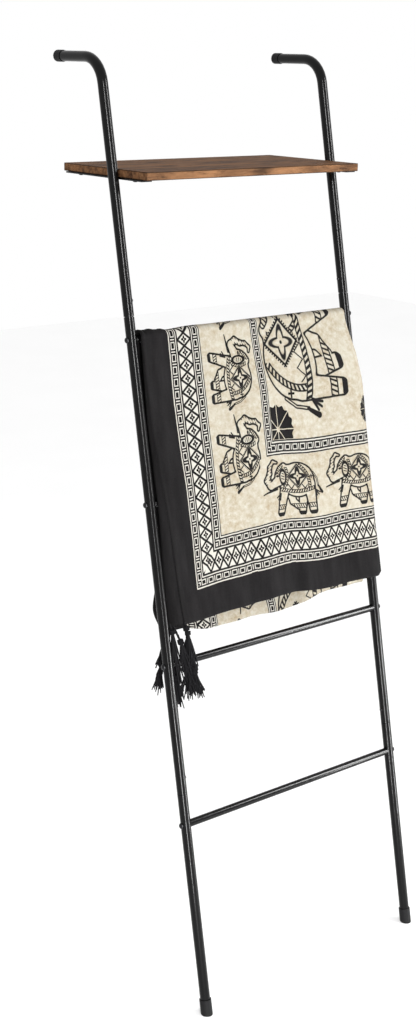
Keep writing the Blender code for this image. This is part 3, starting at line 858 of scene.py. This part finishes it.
def tube(path, radii, sides):
    """Vertices and faces of a closed tube along a path, with its ends capped."""
    path = np.asarray(path, float)
    radii = np.asarray(radii, float)
    heading = np.gradient(path, axis=0)
    heading /= np.linalg.norm(heading, axis=1, keepdims=True) + 1e-12
    across = np.cross(heading, (1.0, 0.13, 0.07))
    across /= np.linalg.norm(across, axis=1, keepdims=True) + 1e-12
    other = np.cross(heading, across)
    angles = tau * np.arange(sides) / sides
    rings = []
    for i, radius in enumerate(radii):
        turn = np.outer(np.cos(angles), across[i]) + np.outer(np.sin(angles), other[i])
        rings.append(path[i] + radius * turn)
    faces = []
    for i in range(len(path) - 1):
        for k in range(sides):
            n = (k + 1) % sides
            faces.append((i * sides + k, i * sides + n, (i + 1) * sides + n, (i + 1) * sides + k))
    faces.append(tuple(range(sides))[::-1])
    last = (len(path) - 1) * sides
    faces.append(tuple(range(last, last + sides)))
    return np.concatenate(rings), faces


class Gather:
    """Collects tubes into one mesh."""

    def __init__(self):
        self.points = []
        self.faces = []
        self.count = 0

    def add(self, points, faces):
        self.points.append(points)
        self.faces += [tuple(i + self.count for i in f) for f in faces]
        self.count += len(points)

    def finish(self, name, material):
        mesh = bpy.data.meshes.new(name)
        mesh.from_pydata(np.concatenate(self.points).tolist(), [], self.faces)
        mesh.materials.append(material)
        mesh.shade_smooth()
        obj = bpy.data.objects.new(name, mesh)
        bpy.context.scene.collection.objects.link(obj)
        return obj


def add_strands(gather, start, end, count, spread, radius):
    """A bundle of yarn strands that fans out from start to end."""
    start, end = np.asarray(start, float), np.asarray(end, float)
    steps = np.linspace(0, 1, 6)
    for _ in range(count):
        aim = RNG.normal(0, 1, 3) * spread
        root = RNG.normal(0, 0.28, 3) * 0.003
        reach = end - start + aim
        reach *= 1 + RNG.uniform(-0.14, 0.05)
        sway = RNG.normal(0, 0.0012, 3)
        path = [start + root * (1 - f) + reach * f + sway * sin(pi * f) for f in steps]
        gather.add(*tube(path, radius * np.array([1, 1.05, 1, 1, 1, 0.85]), 5))


def add_knot(gather, centre, heading, size):
    """A round knot: turns of yarn wound about the bundle."""
    heading = np.asarray(heading, float) / np.linalg.norm(heading)
    across = np.cross(heading, (0.3, 1.0, 0.1))
    across /= np.linalg.norm(across)
    other = np.cross(heading, across)
    core = [centre + heading * size * h for h in np.linspace(-0.8, 0.8, 7)]
    gather.add(*tube(core, size * np.array([0.45, 0.78, 0.95, 1.0, 0.95, 0.78, 0.45]) * 0.85, 10))
    for k in range(4):
        tilt = RNG.uniform(-0.5, 0.5)
        level = size * (-0.55 + 0.36 * k)
        loop = []
        for angle in np.linspace(0, tau, 15):
            out = across * cos(angle) + other * sin(angle)
            rise = level + tilt * size * 0.5 * sin(angle)
            loop.append(centre + out * size * 0.86 + heading * rise)
        gather.add(*tube(loop, [size * 0.24] * 15, 6))


def add_tassel(name, material):
    """A twisted cord, a knot with a thick bundle, a second knot and a loose fringe."""
    (across, along), reach, size, (upper, lower) = TASSELS[name]
    top = throw_place(np.array([across]), np.array([along]))[0]
    reach = np.array(reach)
    bow = np.array([0.0, -0.010 if reach[1] < 0 else 0.0, 0.0])

    def spot(share):
        return top + reach * share + bow * sin(pi * min(share / 0.7, 1))

    gather = Gather()
    steps = np.linspace(-0.03, upper, 12)
    for k in range(3):
        path = []
        for i, f in enumerate(steps):
            angle = 1.1 * i + tau * k / 3
            path.append(spot(f) + 0.0012 * np.array([cos(angle), sin(angle), 0]))
        gather.add(*tube(path, [CORD_YARN] * len(path), 6))
    add_knot(gather, spot(upper), reach, 0.0050 * size)
    start, end = spot(upper + 0.02), spot(lower + 0.08)
    add_strands(gather, start, end, int(40 * size), 0.0058 * size, BUNDLE_YARN)
    add_knot(gather, spot(lower), reach, 0.0062 * size)
    start, end = spot(lower + 0.02), spot(1.0)
    add_strands(gather, start, end, int(44 * size), 0.0062 * size, FRINGE_YARN)
    return gather.finish(name.replace("tassel", "tassel_yarn"), material)


# ---------------------------------------------------------------- floor and light
FLOOR_HALF = 6.0
# Name, place, aim, size, power, and whether it shows in reflections only
LIGHTS = (
    ("left_strip", (-1.55, -3.15, 1.5), (0, 0, 0.9), (0.15, 3.0), 66, False),
    ("right_strip", (2.1, -2.3, 1.5), (0, 0, 0.9), (0.15, 3.0), 55, False),
    ("rung_strip", (1.9, -2.7, 0.35), (0, -0.3, 0.6), (2.8, 0.10), 26, False),
    ("left_glint", (-1.77, -3.05, 2.3), (-0.1, 0, 1.5), (0.20, 1.7), 70, True),
    ("right_glint", (2.28, -2.15, 2.3), (0.1, 0, 1.5), (0.20, 1.7), 60, True),
    ("left_low_glint", (-0.85, -1.35, 0.20), (-0.1, -0.2, 0.20), (0.08, 0.56), 13, True),
    ("right_low_glint", (0.90, -1.15, 0.20), (0.0, -0.2, 0.20), (0.08, 0.56), 13, True),
    ("left_low", (-0.85, -1.35, 0.22), (-0.1, -0.2, 0.22), (0.08, 0.60), 8, False),
    ("right_low", (0.90, -1.15, 0.22), (0.0, -0.2, 0.22), (0.08, 0.60), 8, False),
)


def add_floor():
    mesh = bpy.data.meshes.new("floor")
    corners = [(x * FLOOR_HALF, y * FLOOR_HALF, 0) for x, y in ((-1, -1), (1, -1), (1, 1), (-1, 1))]
    mesh.from_pydata(corners, [], [(0, 1, 2, 3)])
    material, tree, shader = new_material("pale_floor", 0.7)
    tone = noise(tree, object_place(tree).socket, 3, 2)
    tree.links.new(mixed(tree, tone, FLOOR_LOW, FLOOR_HIGH), shader.inputs["Base Color"])
    mesh.materials.append(material)
    floor = bpy.data.objects.new("floor", mesh)
    bpy.context.scene.collection.objects.link(floor)


def add_light(name, place, aim, size, power, glint):
    """An area light; a glint lights gloss only, for the lines of light along the tubes."""
    data = bpy.data.lights.new(name, "AREA")
    data.shape = "RECTANGLE"
    data.size, data.size_y = size
    data.energy = power
    light = bpy.data.objects.new(name, data)
    light.location = place
    light.rotation_euler = (Vector(aim) - Vector(place)).to_track_quat("-Z", "Y").to_euler()
    light.visible_diffuse = not glint
    bpy.context.scene.collection.objects.link(light)


def add_light_set():
    world = bpy.data.worlds.new("studio")
    world.use_nodes = True
    world.node_tree.nodes["Background"].inputs[0].default_value = (1, 1, 1, 1)
    world.node_tree.nodes["Background"].inputs[1].default_value = 1.0
    bpy.context.scene.world = world
    for row in LIGHTS:
        add_light(*row)


# ---------------------------------------------------------------- build
def finish_steel():
    coat = make_powder_coat()
    zinc = make_metal("black_zinc", ZINC_DARK, ZINC_PALE, 0.30)
    bright = make_metal("bright_steel", STEEL_DARK, STEEL_PALE, 0.34)
    rubber = make_rubber()
    board = make_board()
    for name, obj in NODES.items():
        if name.startswith(("throw", "tassel")):
            continue
        if "cap" in name:
            material = rubber
        elif "board" in name:
            material = board
        elif "insert" in name:
            material = bright
        elif "sleeve" in name or "screw" in name or "bolt" in name:
            material = zinc
        else:
            material = coat
        obj.data.materials.clear()
        obj.data.materials.append(material)
        shade_round(obj)


add_camera()
finish_steel()
THROW = add_throw(make_cotton())
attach(THROW, "root")
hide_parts("throw")
yarn = make_yarn()
for tassel_name in TASSELS:
    piece = add_tassel(tassel_name, yarn)
    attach(piece, "root")
    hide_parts(tassel_name)
add_floor()
add_light_set()
